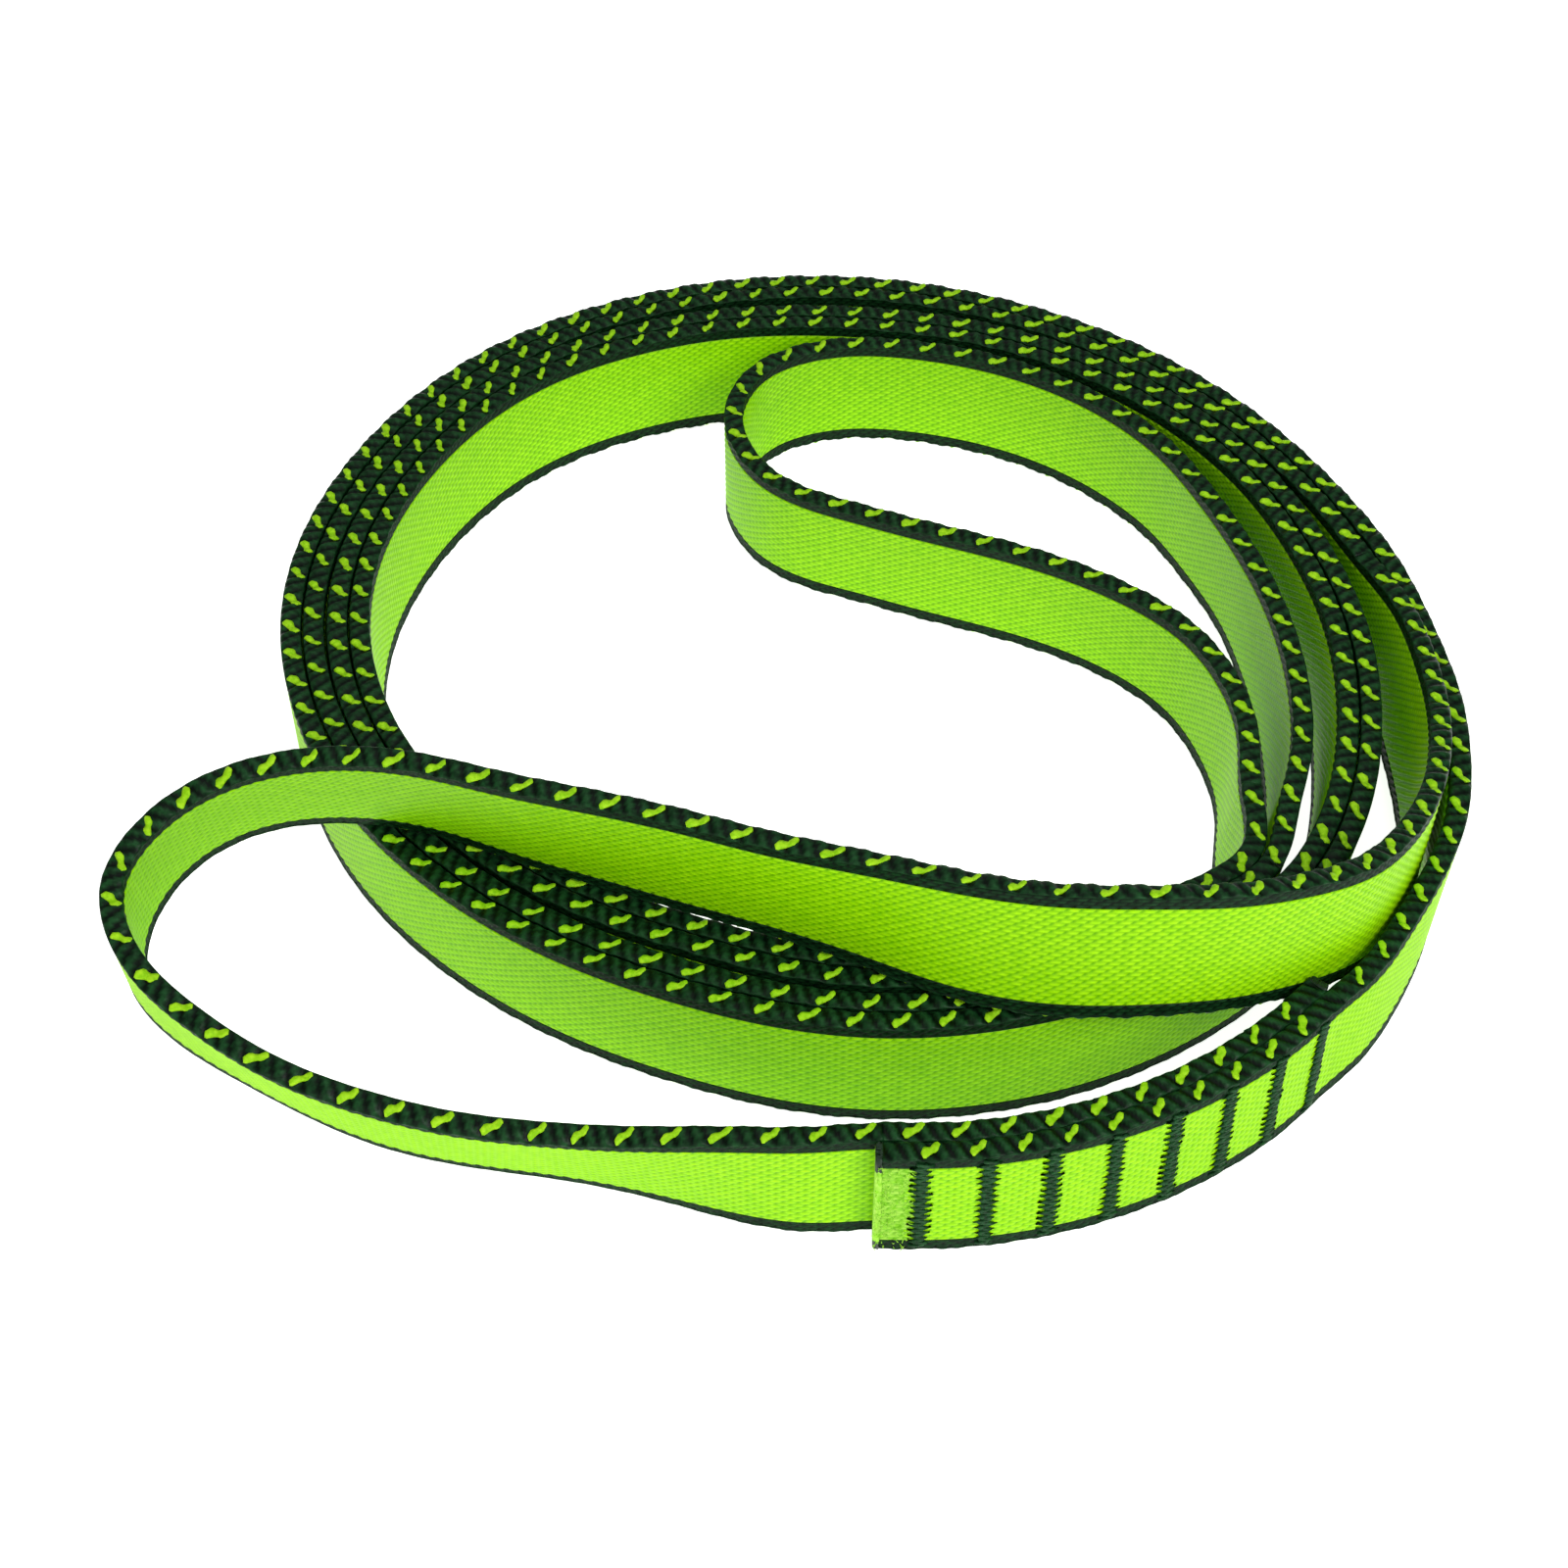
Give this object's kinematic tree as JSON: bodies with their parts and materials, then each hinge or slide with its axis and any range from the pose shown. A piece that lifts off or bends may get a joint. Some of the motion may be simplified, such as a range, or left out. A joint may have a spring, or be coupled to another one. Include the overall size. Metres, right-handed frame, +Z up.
{
  "type": "sewn webbing sling",
  "caption": "Endless runner of flat woven polyamide tape, its lapped ends closed with bar tacks, standing doubled and coiled on its edge.",
  "frame": {"origin": "on the ground, under the middle of the whole runner", "axes": "+X to the viewer's right along the long side, +Y away from the viewer, +Z up"},
  "size_m": [0.1728, 0.173, 0.0366],
  "materials": {
    "web_yarn": "woven lime polyamide",
    "selvedge_yarn": "woven dark green polyamide",
    "bar_tack_thread": "zigzag-stitched dark green thread",
    "melted_end": "heat-cut, melted and fuzzy"
  },
  "bodies": {
    "root": {"bar_tack_1": "bar_tack_thread", "bar_tack_2": "bar_tack_thread", "bar_tack_3": "bar_tack_thread", "bar_tack_4": "bar_tack_thread", "bar_tack_5": "bar_tack_thread", "bar_tack_6": "bar_tack_thread", "bar_tack_7": "bar_tack_thread", "bar_tack_8": "bar_tack_thread", "first_turn_inner_lower_selvedge": "selvedge_yarn", "first_turn_inner_upper_selvedge": "selvedge_yarn", "first_turn_inner_web": "web_yarn", "first_turn_outer_lower_selvedge": "selvedge_yarn", "first_turn_outer_upper_selvedge": "selvedge_yarn", "first_turn_outer_web": "web_yarn", "front_loop_lower_selvedge": "selvedge_yarn", "front_loop_upper_selvedge": "selvedge_yarn", "front_loop_web": "web_yarn", "inner_lap_lower_selvedge": "selvedge_yarn", "inner_lap_sealed_end": "melted_end", "inner_lap_upper_selvedge": "selvedge_yarn", "inner_lap_web": "web_yarn", "inner_loop_lower_selvedge": "selvedge_yarn", "inner_loop_upper_selvedge": "selvedge_yarn", "inner_loop_web": "web_yarn", "outer_lap_lower_selvedge": "selvedge_yarn", "outer_lap_sealed_end": "melted_end", "outer_lap_upper_selvedge": "selvedge_yarn", "outer_lap_web": "web_yarn", "second_turn_inner_lower_selvedge": "selvedge_yarn", "second_turn_inner_upper_selvedge": "selvedge_yarn", "second_turn_inner_web": "web_yarn", "second_turn_outer_lower_selvedge": "selvedge_yarn", "second_turn_outer_upper_selvedge": "selvedge_yarn", "second_turn_outer_web": "web_yarn"}
  },
  "joints": []
}
